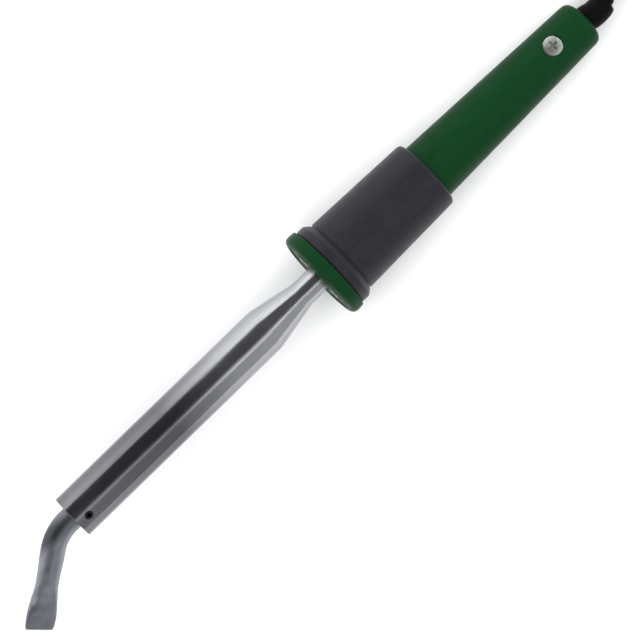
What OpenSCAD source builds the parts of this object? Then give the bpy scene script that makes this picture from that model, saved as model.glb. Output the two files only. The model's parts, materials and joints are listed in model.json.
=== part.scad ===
// Mains soldering iron with a bent plated tip, a tubular barrel and a tapered handle, lying on a table
// with its lead folded into a tied hank behind it. Millimetres. The table is at z = 0 and +Z is up.
// +X runs from the tip towards the lead. The origin is on the table, under the middle of the iron's own
// length and width.
//
// The iron's pieces are modelled about the iron's axis, with x = 0 at the flange's front face, and
// lay_down() rests them on the table: on the flange's rim and on the handle's rear rim.

/* [Tip] */
// Diameter of the tip's round shank
tip_d = 9.3; // [8.8:0.1:9.4]
// Length of the shank inside the barrel
tip_depth = 65; // [50:1:68]
// Straight length between the barrel and the bend
tip_straight = 2.2; // [2.2:0.1:12]
// Radius of the bend, on the tip's middle line
tip_bend_r = 19; // [14:1:26]
// Angle of the bend
tip_bend_angle = 36; // [5:1:45]
// Length of the working end after the bend
tip_reach = 30.5; // [26:0.5:40]
// Width of the waist where the forging starts
waist_w = 8.4; // [8:0.1:9]
// Width of the blade at its end
blade_w = 10.4; // [9:0.1:12]
// Thickness of the blade at its end
blade_t = 2.6; // [2:0.1:4]

/* [Barrel] */
// Outer diameter of the barrel
barrel_d = 18; // [17.6:0.1:19]
// Length of the barrel in front of the flange
barrel_len = 126.5; // [122:0.5:135]
// Length of the cone between the barrel and its neck
cone_len = 19; // [15:1:24]
// Length of the neck in front of the flange
neck_len = 8.5; // [6:0.5:12]
// Diameter of the neck
neck_d = 10.4; // [10.2:0.1:10.8]
// Wall of the barrel
barrel_wall = 0.8; // [0.6:0.1:0.9]

/* [Handle] */
// Diameter of the flange that guards the hand
flange_d = 38; // [36:0.5:42]
// Thickness of the flange
flange_t = 5.3; // [5:0.1:7]
// Distance from the flange's front face to the handle's rear end
handle_len = 139; // [138:0.5:142]
// Diameter of the handle at the grip sleeve
handle_front_d = 24; // [23.6:0.1:25]
// Diameter of the handle at its rear end
handle_rear_d = 18.9; // [18.5:0.1:20]
// Diameter of the grip sleeve's front collar
collar_d = 35.5; // [34:0.5:36]
// Length of the grip sleeve
sleeve_len = 51.1; // [44:0.1:54]
// Diameter of the grip sleeve behind its collar
sleeve_front_d = 31.7; // [30:0.1:33]
// Diameter of the grip sleeve at its rear end
sleeve_rear_d = 29.2; // [28:0.1:30]

/* [Screws] */
// Diameter of the set screw that holds the tip
set_screw_d = 3.1; // [3:0.1:4]
// Roll of the set screw from the top of the barrel, towards -Y
set_screw_roll = 25; // [0:1:60]
// Diameter of the cord clamp screw's head
clamp_head_d = 7.6; // [7:0.1:8]
// Roll of the cord clamp screw from the top of the handle, towards +Y
clamp_roll = 7.5; // [0:0.5:20]

/* [Lead and plug] */
// Diameter of the mains lead
cord_d = 6; // [5.8:0.1:6]
// Length of the hank's straight runs
hank_run = 66; // [60:1:66]
// Diameter of the plug's round body
plug_d = 37; // [36:0.5:38]
// Diameter of a plug pin
pin_d = 4.8; // [4.8:0.1:4.8]
// Distance between the plug's pins
pin_pitch = 19; // [19:1:19]
// Length of a plug pin
pin_len = 19; // [19:1:19]

/* [Hidden] */
$fn = 72;
cut = 1;              // how far a cutting solid runs past the face that it opens
slip = 0.05;          // gap between pieces that are pressed or clamped together
run_gap = 0.1;        // gap around a piece that moves

// Barrel and heater, along the iron's axis
nose_x = -barrel_len;
cone_x = -neck_len - cone_len;
neck_x = -neck_len;
barrel_r = barrel_d / 2;
bore_r = barrel_r - barrel_wall;
neck_r = neck_d / 2;
neck_bore_r = neck_r - barrel_wall;
tip_r = tip_d / 2;
shank_x = nose_x + tip_depth;
bush_len = 10;
set_screw_x = nose_x + 5.1;
set_screw_r = set_screw_d / 2;
former_wall = 0.9;
former_r = tip_r + 2 * run_gap + former_wall;
former_x0 = nose_x + bush_len + 0.5;
former_x1 = shank_x + 15;
winding_pitch = 3;
winding_turns = 20;
winding_x0 = former_x0 + 4;
winding_x1 = winding_x0 + winding_pitch * winding_turns;
wire_low_r = former_r + slip + 0.3;
wire_high_r = wire_low_r + 0.5;
mica_r = wire_high_r + 0.6;
insulator_x0 = former_x1 + 2;
insulator_len = 8;
lead_z = 2.6;         // height of each heater lead above or below the axis
lead_r = 0.5;
lead_sleeve_r = 0.95;

// Handle
plate_t = 1.2;
plate_r = 10.5;
plate_x1 = flange_t + plate_t;
stem_r = handle_front_d / 2;
sleeve_x1 = flange_t + sleeve_len;
rear_round = 4;
rear_round_x = handle_len - rear_round;
rear_round_r = handle_r(rear_round_x) - rear_round;
rim_round = 3;
rim_x = rim_round;
rim_r = flange_d / 2 - rim_round;
cavity_r = 9.5;
screw_y = 8.2;        // distance of each flange screw from the axis
screw_r = 1.1;
rib_r = 2.2;
rib_x1 = 30;
clamp_x = 122;
cord_end_x = 104;     // where the lead's sheath ends inside the handle
core_x = cord_end_x - 0.1;
funnel_x0 = 60;       // the cavity narrows from here towards the lead
funnel_r = 6.5;
lead_bore_x0 = 112;
relief_x = 131;       // where the strain relief is seated
relief_r = 5.2;
block_x0 = 32;
block_x1 = 50;
insert_r = 1.9;
earth_at = [-5.9, -4.9];    // y and z of the earth conductor beside the terminals

// Rest on the table: the plane touches the flange's round rim and the handle's round rear rim
rims_apart = norm([rear_round_x - rim_x, rim_r - rear_round_r]);
rest_tilt = atan2(rim_r - rear_round_r, rear_round_x - rim_x) + asin((rim_round - rear_round) / rims_apart);
axis_z = rim_x * sin(rest_tilt) + rim_r * cos(rest_tilt) + rim_round;

// Lead. The routes run over the table, from under the flange's centre.
cord_r = cord_d / 2;
relief_route = [
    axis_point(relief_x), axis_point(handle_len), [142.5, -0.7, 9], [145.8, -0.8, 8.8], [147.4, -0.4, 8.7],
    [150.6, 1.4, 8.4], [153.4, 3.8, 8.1], [155.9, 6.7, 7.7], [158, 10, 7.3],
];
relief_taper = [1, 1, 1, 0.95, 0.77, 0.75, 0.73, 0.71, 0.69];
cord_route = concat(
    [axis_point(cord_end_x)], relief_route,
    [[162.5, 15, 6.6], [168, 18.6, 5.6], [174, 20.5, 4.7], [184, 21, 3.9]]
);
lift = 0.7;           // the ties pass under the hank
hank_at = [229, -3];
hank_inner_r = 18;    // end loops of the inner turns, at the lead's middle line
hank_outer_r = hank_inner_r + cord_d;
hank_layers = 3;
hank_h = hank_layers * cord_d + 0.2;
tie_t = 0.5;
tie_w = 8;

// Plug, lying on its side behind the hank
plug_rear_at = [312, 5];
plug_len = 56;
plug_r = plug_d / 2;
pin_r = pin_d / 2;
pin_root_r = 2;       // the part of a pin inside the plug's body
pin_root_len = 10;
groove_d = 3;         // grooves for the earth contacts
groove_len = 15;
clip_t = 0.8;
plug_lead_route = [
    [264, 15, 20.3], [272, 14.7, 21.6], [280, 13.5, 22], [288, 11.2, 21.5], [296, 8.5, 20.4],
    [304, 6.2, 19.2], [plug_rear_at[0], plug_rear_at[1], plug_r],
];

// Middle of the iron's own length and width, from the flange's centre
tip_end = [
    nose_x - tip_straight - tip_bend_r * sin(tip_bend_angle) - tip_reach * cos(tip_bend_angle),
    -tip_bend_r * (1 - cos(tip_bend_angle)) - tip_reach * sin(tip_bend_angle),
];
blade_corner = blade_w / 2 * [sin(tip_bend_angle), cos(tip_bend_angle)];
relief_last = len(relief_route) - 1;
relief_end_way = relief_route[relief_last] - relief_route[relief_last - 1];
relief_reach_x = relief_route[relief_last][0]
    + relief_r * relief_taper[relief_last] * relief_end_way[1] / norm([relief_end_way[0], relief_end_way[1]]);
mid_x = ((tip_end[0] - blade_corner[0]) * cos(rest_tilt) + relief_reach_x) / 2;
mid_y = (tip_end[1] - blade_corner[1] + flange_d / 2) / 2;

// Radius of the handle's outer face at x
function handle_r(x) =
    x <= sleeve_x1 ? stem_r
    : stem_r + (handle_rear_d / 2 - stem_r) * (x - sleeve_x1) / (handle_len - sleeve_x1);

// Point of the iron's axis at x, once the iron is laid down
function axis_point(x) = [x * cos(rest_tilt), 0, axis_z - x * sin(rest_tilt)];

// Points of an arc in an outline
function arc(centre, r, from, to, steps = 8) =
    [for (i = [0:steps]) let (a = from + (to - from) * i / steps) centre + r * [cos(a), sin(a)]];

// Rests a piece of the iron on the table
module lay_down() {
    translate([-mid_x, -mid_y, axis_z]) rotate([0, rest_tilt, 0]) children();
}

// Places a piece that lies on the table by itself
module on_table() {
    translate([-mid_x, -mid_y, 0]) children();
}

// Solid of revolution about the x axis, from an outline of [x, radius] points
module turned(outline) {
    rotate([0, 90, 0]) rotate_extrude() polygon([for (p = outline) [p[1], p[0]]]);
}

// Round bar along x
module bar(x0, x1, r) {
    translate([x0, 0, 0]) rotate([0, 90, 0]) cylinder(h = x1 - x0, r = r);
}

// Tube along x
module pipe(x0, x1, r_in, r_out) {
    difference() {
        bar(x0, x1, r_out);
        bar(x0 - cut, x1 + cut, r_in);
    }
}

// Round wire between two points
module wire(a, b, r) {
    d = b - a;
    translate(a) rotate([0, acos(d[2] / norm(d)), atan2(d[1], d[0])]) cylinder(h = norm(d), r = r, $fn = 24);
}

// Turns a piece about the iron's axis, so that its own +Z points out at that roll, and moves it to x
module radial(x, roll) {
    translate([x, 0, 0]) rotate([roll, 0, 0]) children();
}

// Closed solid swept along a route. Each point has a size: [half width, half height, corner], where a
// corner of 1 makes an oval section, and less makes it squarer.
module swept(route, sizes, sides = 12) {
    last = len(route) - 1;
    function unit(v) = v / norm(v);
    function heading(i) = unit(route[min(i + 1, last)] - route[max(i - 1, 0)]);
    function side(i) = unit(cross([0, 0, 1], heading(i)));
    function squared(c, corner) = sign(c) * pow(abs(c), corner);
    function ring(i) = [
        for (k = [0:sides - 1])
            let (a = 360 * k / sides, s = side(i), n = cross(heading(i), s))
                route[i] + sizes[i][0] * squared(cos(a), sizes[i][2]) * s
                    + sizes[i][1] * squared(sin(a), sizes[i][2]) * n
    ];
    points = [for (i = [0:last]) each ring(i)];
    walls = [
        for (i = [0:last - 1], k = [0:sides - 1])
            let (a = i * sides + k, b = i * sides + (k + 1) % sides) [a, a + sides, b + sides, b]
    ];
    start_cap = [for (k = [0:sides - 1]) k];
    end_cap = [for (k = [sides - 1:-1:0]) last * sides + k];
    polyhedron(points, concat([start_cap], walls, [end_cap]), convexity = 4);
}

// Round tube swept along a route
module tube(route, r, sides = 12) {
    swept(route, [for (p = route) [r, r, 1]], sides);
}

// The tip: a round shank, then a bend and a working end that is forged to a flat blade
module tip() {
    inset = 0.03;     // the bend starts this far inside the shank's surface
    bend_x = nose_x - tip_straight;
    round_size = [tip_r - inset, tip_r - inset, 1];
    bend_steps = 8;
    bend = [
        for (i = [1:bend_steps]) let (a = tip_bend_angle * i / bend_steps)
            [bend_x - tip_bend_r * sin(a), tip_bend_r * (cos(a) - 1), 0]
    ];
    bend_end = bend[bend_steps - 1];
    reach = [-cos(tip_bend_angle), -sin(tip_bend_angle), 0];
    // How far along the working end, and the section's size there
    forging = [
        [0.15, [0.99 * tip_r, 0.99 * tip_r, 1]], [0.36, [waist_w / 2, 0.92 * tip_r, 0.95]],
        [0.55, [0.56 * waist_w, 0.70 * tip_r, 0.8]], [0.75, [0.53 * blade_w, 0.46 * tip_r, 0.6]],
        [0.90, [0.53 * blade_w, 0.62 * blade_t, 0.45]], [1.00, [blade_w / 2, blade_t / 2, 0.45]],
    ];
    forged = [for (f = forging) bend_end + f[0] * tip_reach * reach];
    color("#74787f") lay_down() {
        bar(bend_x, shank_x, tip_r);
        swept(
            concat([[bend_x + 2, 0, 0], [bend_x, 0, 0]], bend, forged),
            concat([for (i = [1:bend_steps + 2]) round_size], [for (f = forging) f[1]]),
            32
        );
    }
}

// The set screw, with its hexagon socket
module tip_set_screw() {
    color("#3b3d42") lay_down() radial(set_screw_x, set_screw_roll) difference() {
        translate([0, 0, tip_r + 0.15]) cylinder(h = barrel_r - tip_r - 0.25, r = set_screw_r);
        translate([0, 0, barrel_r - 2.1]) cylinder(h = 2 + cut, d = 1.9, $fn = 6);
    }
}

// The chromed steel tube around the heater, drawn down to a neck that the handle holds
module barrel_tube() {
    lip_r = neck_r + 0.7;
    color("#a8adb3") lay_down() difference() {
        turned([
            [nose_x, bore_r], [nose_x + 0.3, barrel_r - 0.1], [nose_x + 0.6, barrel_r], [cone_x, barrel_r],
            [neck_x, neck_r], [plate_x1, neck_r], [plate_x1, lip_r], [plate_x1 + 1, lip_r],
            [plate_x1 + 1, neck_bore_r], [neck_x, neck_bore_r], [cone_x, bore_r],
        ]);
        set_screw_hole();
    }
}

// The hole that the set screw passes through, in the barrel and in its bush
module set_screw_hole() {
    radial(set_screw_x, set_screw_roll) cylinder(h = barrel_r + cut, r = set_screw_r + run_gap);
}

// The steel bush that centres the tip in the barrel's mouth
module nose_bush() {
    color("#8d9096") lay_down() difference() {
        pipe(nose_x + 0.2, nose_x + bush_len, tip_r + run_gap, bore_r - slip);
        set_screw_hole();
    }
}

// The ceramic tube that the heating wire is wound on
module heater_former() {
    color("#e4ddcb") lay_down() pipe(former_x0, former_x1, former_r - former_wall, former_r);
}

// The heating wire's turns, as one ribbed sleeve
module heater_winding() {
    ridges = [
        for (i = [0:winding_turns - 1])
            let (x = winding_x0 + i * winding_pitch)
                each [[x, wire_low_r], [x + winding_pitch / 2, wire_high_r]]
    ];
    inner_r = former_r + slip;
    color("#8f7f6a") lay_down() turned(concat(
        [[winding_x0, inner_r]], ridges, [[winding_x1, wire_low_r], [winding_x1, inner_r]]
    ));
}

// The mica sheet rolled around the heating wire
module mica_wrap() {
    color("#cdb68a") lay_down() pipe(winding_x0 - 2, winding_x1, wire_high_r + 0.1, mica_r);
}

// The ceramic plug behind the heater, which the leads pass through
module rear_insulator() {
    color("#efeadc") lay_down() difference() {
        bar(insulator_x0, insulator_x0 + insulator_len, bore_r - slip);
        for (side = [-1, 1]) translate([0, 0, side * lead_z])
            bar(insulator_x0 - cut, insulator_x0 + insulator_len + cut, lead_r + slip);
    }
}

// The two leads from the heating wire to the terminals
module heater_leads() {
    bend_x = insulator_x0 - 1;
    wire_z = former_r + 0.7;
    color("#b9bcc0") lay_down() for (side = [-1, 1]) {
        wire([winding_x1 + 0.1, 0, side * wire_z], [bend_x, 0, side * wire_z], lead_r);
        wire([bend_x, 0, side * (wire_z + lead_r)], [bend_x, 0, side * (lead_z - lead_r)], lead_r);
        wire([bend_x, 0, side * lead_z], [block_x0 + 6, 0, side * lead_z], lead_r);
    }
}

// The glass sleeves that insulate the leads
module lead_sleeves() {
    color("#e9e4d6") lay_down() for (side = [-1, 1]) translate([0, 0, side * lead_z])
        pipe(insulator_x0 + insulator_len + 0.2, block_x0 - 0.5, lead_r + slip, lead_sleeve_r);
}

// The steel plate on the neck, clamped between the flange and the handle
module barrel_collar() {
    color("#9a9da2") lay_down() difference() {
        pipe(flange_t, plate_x1, neck_r + slip, plate_r);
        flange_screw_holes(screw_r + 0.15);
    }
}

// Holes for the flange's two screws
module flange_screw_holes(r) {
    for (side = [-1, 1]) translate([0, side * screw_y, 0]) bar(-cut, rib_x1 - 4, r);
}

// The earth conductor's tag, welded to the plate
module earth_tag() {
    color("#c9cbce") lay_down() translate([0, earth_at[0], earth_at[1]]) {
        bar(plate_x1 + 6, plate_x1 + 12, 1.4);
        translate([plate_x1, -1.5, -0.4]) cube([7, 3, 0.8]);
    }
}

// The green flange in front of the hand
module front_flange() {
    head_t = 1.5;
    color("#1c4526") lay_down() difference() {
        turned(concat(
            [[0, neck_r + 0.2]], arc([rim_x, rim_r], rim_round, 180, 90),
            [[flange_t, flange_d / 2 - 0.5], [flange_t, neck_r + 0.2]]
        ));
        flange_screw_holes(screw_r + 0.15);
        for (side = [-1, 1]) translate([-0.01, side * screw_y, 0]) rotate([0, 90, 0])
            cylinder(h = head_t + 0.1, r1 = 2.5, r2 = screw_r + 0.15);
    }
}

// The two countersunk screws through the flange and the plate into the handle
module flange_screws() {
    color("#b4b7ba") lay_down() for (side = [-1, 1]) translate([0, side * screw_y, 0]) difference() {
        turned([[0.1, 0], [0.1, 2.35], [1.4, screw_r], [22, screw_r], [23.5, 0]]);
        for (turn = [0, 90]) rotate([turn, 0, 0]) translate([-cut, -1.3, -0.3]) cube([cut + 0.8, 2.6, 0.6]);
    }
}

// The green moulded handle: a hollow taper with two screw ribs in front and a cord seat behind
module handle_shell() {
    color("#1a4726") lay_down() difference() {
        union() {
            turned(concat(
                [[flange_t, plate_r + slip], [flange_t, stem_r], [sleeve_x1, stem_r]],
                arc([rear_round_x, rear_round_r], rear_round, 90, 0),
                [
                    [handle_len, relief_r + slip], [relief_x, relief_r + slip], [relief_x, cord_r + 0.2],
                    [lead_bore_x0, cord_r + 0.2], [cord_end_x, funnel_r], [funnel_x0, cavity_r],
                    [plate_x1, cavity_r], [plate_x1, plate_r + slip],
                ]
            ));
            for (side = [-1, 1]) translate([0, side * screw_y, 0]) bar(plate_x1, rib_x1, rib_r);
        }
        flange_screw_holes(screw_r + slip);
        radial(clamp_x, -clamp_roll) {
            cylinder(h = 5.2, r = 3);
            cylinder(h = 12, r = 1.5 + slip);
            translate([0, 0, 7.5]) cylinder(h = 5, d = clamp_head_d + 0.4);
        }
    }
}

// The soft dark grip sleeve, with its raised front collar
module grip_sleeve() {
    collar_x1 = flange_t + 5.8;
    front_r = sleeve_front_d / 2;
    rear_r = sleeve_rear_d / 2;
    round_r = 2;
    inner_r = stem_r + slip;
    color("#35363b") lay_down() turned(concat(
        [[flange_t + slip, inner_r]], arc([flange_t + 1.3, collar_d / 2 - 1.2], 1.2, 180, 90),
        [[flange_t + 3.4, collar_d / 2 - 0.1]], arc([collar_x1 - 2.2, front_r - 0.8], 2.2, 70, 10),
        [[collar_x1 + 0.4, front_r - 0.5], [collar_x1 + 0.9, front_r]],
        arc([sleeve_x1 - round_r, rear_r - round_r], round_r, 90, 0), [[sleeve_x1, inner_r]]
    ));
}

// The two-way terminal block
module terminal_block() {
    color("#ece9df") lay_down() difference() {
        translate([block_x0, -4, -5.4]) cube([block_x1 - block_x0, 8, 10.8]);
        for (side = [-1, 1]) translate([0, 0, side * lead_z]) {
            bar(block_x0 - cut, block_x1 + cut, insert_r + slip);
            terminal_screw_spots() cylinder(h = 6, r = 1.35);
        }
    }
}

// The two screw places along a terminal, with +Z pointing out of the block
module terminal_screw_spots() {
    for (x = [block_x0 + 4, block_x1 - 4]) translate([x, 0, 0]) rotate([-90, 0, 0]) children();
}

// The brass tubes in the terminal block
module terminal_inserts() {
    color("#b8923f") lay_down() for (side = [-1, 1]) translate([0, 0, side * lead_z]) difference() {
        pipe(block_x0 + 1, block_x1 - 1, 1.1, insert_r);
        terminal_screw_spots() cylinder(h = 6, r = 1.05);
    }
}

// The four screws that hold the conductors in the brass tubes
module terminal_screws() {
    color("#c4c6c9") lay_down() for (side = [-1, 1]) translate([0, 0, side * lead_z])
        terminal_screw_spots() difference() {
            translate([0, 0, 1.15]) cylinder(h = 2.5, r = 1);
            translate([-1.5, -0.2, 3.15]) cube([3, 0.4, 1]);
        }
}

// One of the lead's three conductors, from the sheath's end to its terminal
module conductor(start, bend, end) {
    tube([start, bend, end], 0.9);
}

module live_core() {
    color("#5f3a22") lay_down()
        conductor([core_x, 0.8, 1.2], [block_x1 + 8, 0, lead_z], [block_x1 - 5, 0, lead_z]);
}

module neutral_core() {
    color("#27508f") lay_down()
        conductor([core_x, 0.8, -1.2], [block_x1 + 8, 0, -lead_z], [block_x1 - 5, 0, -lead_z]);
}

module earth_core() {
    earth_end = [plate_x1 + 12, earth_at[0], earth_at[1]];
    color("#8fae2e") lay_down()
        conductor([core_x, -1.6, 0], [block_x1 + 8, earth_at[0], earth_at[1]], earth_end);
}

// The nylon slug that presses on the lead's sheath
module clamp_slug() {
    color("#d8d4c8") lay_down() difference() {
        radial(clamp_x, -clamp_roll) translate([0, 0, 1.5]) cylinder(h = 3.5, r = 2.9);
        bar(clamp_x - 5, clamp_x + 5, cord_r + 0.05);
    }
}

// The screw in the handle that presses the slug, with a pan head and a cross recess
module clamp_screw() {
    dome_r = 12;
    head_r = clamp_head_d / 2;
    color("#b9beb9") lay_down() radial(clamp_x, -clamp_roll) difference() {
        union() {
            translate([0, 0, 5.05]) cylinder(h = 3, r = 1.5);
            intersection() {
                translate([0, 0, 7.55]) cylinder(h = 2.5, r = head_r);
                translate([0, 0, 9.9 - dome_r]) sphere(dome_r);
            }
        }
        for (turn = [0, 90]) rotate([0, 0, turn]) translate([-2, -0.45, 8.4]) cube([4, 0.9, 3]);
    }
}

// The tapered strain relief, seated in the handle and bent with the lead
module strain_relief() {
    color("#141516") on_table() difference() {
        swept(relief_route, [for (t = relief_taper) [relief_r * t, relief_r * t, 1]], 16);
        tube(cord_route, cord_r + slip);
    }
}

// The lead, from its cut end inside the handle to its hank
module cord() {
    color("#17181a") on_table() tube(cord_route, cord_r);
}

// Outline of a hank's turn: a run on each side and a round loop at each end
module racetrack(loop_r) {
    square([hank_run, 2 * loop_r], center = true);
    for (end = [-1, 1]) translate([end * hank_run / 2, 0]) circle(loop_r);
}

// The hank's outer shape
module cord_hank() {
    color("#17181a") on_table() translate([hank_at[0], hank_at[1], lift])
        linear_extrude(hank_h) difference() {
            racetrack(hank_outer_r + cord_r);
            racetrack(hank_inner_r - cord_r);
        }
}

// The two straps that tie the hank, one round each run
module cord_ties() {
    gap = 0.1;
    inner_w = 2 * cord_d + 2 * gap;
    color("#222326") on_table() for (side = [-1, 1])
        translate([hank_at[0], hank_at[1] + side * (hank_inner_r + hank_outer_r) / 2, 0]) difference() {
            strap_block(tie_w, inner_w + 2 * tie_t, lift + hank_h + gap + tie_t);
            translate([0, 0, lift - gap]) strap_block(tie_w + 2 * cut, inner_w, hank_h + 2 * gap);
        }
}

// Block around one run of the hank: l long, w wide and h high, standing on z = 0
module strap_block(l, w, h) {
    translate([-l / 2, -w / 2, 0]) cube([l, w, h]);
}

// The lead, from its hank to the plug
module plug_lead() {
    color("#17181a") on_table() tube(plug_lead_route, cord_r);
}

// Lays the plug on its side, from its own frame: x = 0 at its face and +x along its pins
module plug_place() {
    on_table() translate([plug_rear_at[0] + plug_len, plug_rear_at[1], plug_r]) children();
}

// The moulded plug body, with its tapered relief, its grip and the grooves for the earth contacts
module plug_body() {
    color("#1b1c1e") plug_place() difference() {
        turned(concat(
            [[-plug_len, 0], [-plug_len, 4.4], [-34, 6.4], [-33, 10.5], [-25, 13.4], [-19.5, 14.2]],
            [[-17.5, 17.6], [-16.6, plug_r]], arc([-1.2, plug_r - 1.2], 1.2, 90, 0), [[0, 0]]
        ));
        for (up = [-1, 1]) translate([-groove_len, -3, up > 0 ? plug_r - groove_d : -plug_r - cut])
            cube([groove_len + cut, 6, groove_d + cut]);
        for (side = [-1, 1]) translate([-groove_len, side > 0 ? plug_r - 2 : -plug_r - cut, -2.5])
            cube([groove_len + cut, 2 + cut, 5]);
        translate([0, 0, 10]) bar(-14, cut, 2.6);
        plug_pin_spots() bar(-pin_root_len, cut, pin_root_r);
    }
}

// The places of the two pins
module plug_pin_spots() {
    for (side = [-1, 1]) translate([0, side * pin_pitch / 2, 0]) children();
}

// The two round pins, with their domed ends and their narrower roots
module plug_pins() {
    color("#c9c7bf") plug_place() plug_pin_spots() turned(concat(
        [[-pin_root_len, 0], [-pin_root_len, pin_root_r], [0, pin_root_r], [0, pin_r]],
        arc([pin_len - pin_r, 0], pin_r, 90, 0), [[pin_len, 0]]
    ));
}

// The spring contacts in the two earth grooves
module plug_earth_clips() {
    color("#c9c7bf") plug_place() for (up = [-1, 1]) translate([0, 0, up * (plug_r - groove_d + clip_t / 2)])
        translate([-groove_len + 0.2, -2.2, -clip_t / 2]) cube([groove_len - 0.7, 4.4, clip_t]);
}

tip();
tip_set_screw();
barrel_tube();
nose_bush();
heater_former();
heater_winding();
mica_wrap();
rear_insulator();
heater_leads();
lead_sleeves();
barrel_collar();
earth_tag();
front_flange();
flange_screws();
handle_shell();
grip_sleeve();
terminal_block();
terminal_inserts();
terminal_screws();
live_core();
neutral_core();
earth_core();
clamp_slug();
clamp_screw();
strain_relief();
cord();
cord_hank();
cord_ties();
plug_lead();
plug_body();
plug_pins();
plug_earth_clips();
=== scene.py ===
import json
import math

import bmesh
import bpy
from mathutils import Matrix, Vector
from mathutils.noise import noise


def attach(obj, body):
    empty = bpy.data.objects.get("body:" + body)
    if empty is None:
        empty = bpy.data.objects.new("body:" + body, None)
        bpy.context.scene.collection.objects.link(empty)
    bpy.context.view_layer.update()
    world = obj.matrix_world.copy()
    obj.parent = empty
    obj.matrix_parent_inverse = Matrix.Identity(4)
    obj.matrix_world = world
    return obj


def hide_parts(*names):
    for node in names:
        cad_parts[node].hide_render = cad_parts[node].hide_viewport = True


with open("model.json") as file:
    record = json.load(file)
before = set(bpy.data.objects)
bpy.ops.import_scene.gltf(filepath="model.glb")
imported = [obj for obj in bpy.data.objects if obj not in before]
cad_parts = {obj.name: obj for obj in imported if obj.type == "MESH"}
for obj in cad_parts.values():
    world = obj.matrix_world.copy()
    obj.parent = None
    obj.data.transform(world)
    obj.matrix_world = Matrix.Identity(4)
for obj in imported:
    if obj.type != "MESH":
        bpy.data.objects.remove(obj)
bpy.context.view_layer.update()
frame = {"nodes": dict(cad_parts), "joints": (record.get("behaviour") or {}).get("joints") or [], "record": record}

# The looks of the mains soldering iron. Lengths are millimetres until a place matrix takes them to the
# row frame. The iron's own axes have x = 0 at the flange's front face and +x towards the lead.
MM = 0.001
BODY = "iron"
BARREL_MOUNT_X = -77
# How far a cutter stands past the surface that it opens
CUT = 0.5

# Barrel
NOSE_X = -126.5
CONE_X = -27.5
NECK_X = -8.5
BARREL_R = 9
BORE_R = 8.2
NECK_R = 5.2
NECK_BORE_R = 4.4
CONE_ROUNDING = 14
NECK_ROUNDING = 8
COLLAR_T = 1
COLLAR_R = NECK_R + 0.7
SET_SCREW_X = -121.4
SET_SCREW_ROLL = 25
SET_SCREW_R = 1.65

# Tip
TIP_R = 4.65
SHANK_X = -61.5
BEND_X = -128.7
BEND_R = 19
BEND_ANGLE = math.radians(36)
REACH = 30.5
BLADE_SKEW = 0.16

# Handle
FLANGE_T = 5.3
PLATE_X1 = 6.5
FLANGE_R = 19
SCREW_Y = 8.2
STEM_R = 12
STEM_BORE_R = 9.5
HOLLOW_X1 = 104
STEM_REBATE_R = 10.55
SLEEVE_X1 = 56.4
SLEEVE_BORE_R = 12.05
HANDLE_LEN = 139
HANDLE_REAR_R = 9.45
CORD_HOLE_R = 3.2
RELIEF_SEAT_R = 5.25
CLAMP_X = 122
CLAMP_ROLL = -7.5
CLAMP_SEAT_R = 4
CLAMP_SEAT_Z = 7.5

# Lead, hank and plug. Their routes run over the table from under the flange's centre.
CORD_D = 6
RELIEF_X = 131
RELIEF_R = 5.2
RELIEF_NECK_R = 4
RELIEF_END_R = 3.6
RELIEF_ROUTE = [
    (142.5, -0.7, 9), (145.8, -0.8, 8.8), (147.4, -0.4, 8.7), (150.6, 1.4, 8.4), (153.4, 3.8, 8.1),
    (155.9, 6.7, 7.7), (158, 10, 7.3),
]
LEAD_IN = [
    (162.5, 15, 6.6), (168, 18.6, 5.6), (174, 20.5, 4.7), (184, 21, 3.9), (196, 21, 3.7), (212, 21, 3.7),
]
HANK_AT = (229, -3)
HANK_RUN = 66
HANK_INNER_R = 18
HANK_OUTER_R = 24
LAYER_Z = (3.7, 9.8, 15.9)
LEAD_OUT = [
    (240, 15, 16), (248, 15, 17), (256, 15, 18.8), (264, 15, 20.5), (272, 14.7, 21.8), (280, 13.5, 22.1),
    (288, 11.2, 21.5), (296, 8.5, 20.4), (304, 6.2, 19.2), (312, 5, 18.5), (318, 5, 18.5),
]
TIE_HALF_W = 4
TIE_T = 0.5
TIE_GAP = 0.08
PLUG_REAR = (312, 5)
PLUG_LEN = 56
PLUG_R = 18.5
PIN_R = 2.4
PIN_LEN = 19
PIN_Y = 9.5
EARTH_HOLE_UP = 10
EARTH_HOLE_R = 2.6
EARTH_HOLE_DEPTH = 14


def iron_place():
    """Takes points in the iron's own axes, in millimetres, to the row frame."""
    slide = Vector(next(j["axis"] for j in frame["joints"] if j["name"] == "tip_slide"))
    mount = next(m for m in frame["record"]["mounts"] if m["name"] == "barrel")
    along = -slide.normalized()
    across = Vector((0, 1, 0))
    place = Matrix((along, across, along.cross(across))).transposed().to_4x4()
    place.translation = Vector(mount["pos_m"]) - BARREL_MOUNT_X * MM * along
    return place @ Matrix.Scale(MM, 4)


IRON = iron_place()
TABLE = Matrix.Translation((IRON.translation.x, IRON.translation.y, 0)) @ Matrix.Scale(MM, 4)
PLUG = TABLE @ Matrix.Translation((PLUG_REAR[0] + PLUG_LEN, PLUG_REAR[1], PLUG_R))


def axis_point(x):
    """Place of a point on the iron's axis, in the table's millimetres."""
    return TABLE.inverted() @ IRON @ Vector((x, 0, 0))


# ---- Material building ----

def linked(tree, kind, **sockets):
    """A new node with these input sockets set to values or linked to other nodes' outputs. An underscore
    in a name stands for the space in the socket's own name."""
    node = tree.nodes.new(kind)
    for name, value in sockets.items():
        socket = node.inputs[name.replace("_", " ")]
        if isinstance(value, bpy.types.NodeSocket):
            tree.links.new(value, socket)
        else:
            socket.default_value = value
    return node


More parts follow.
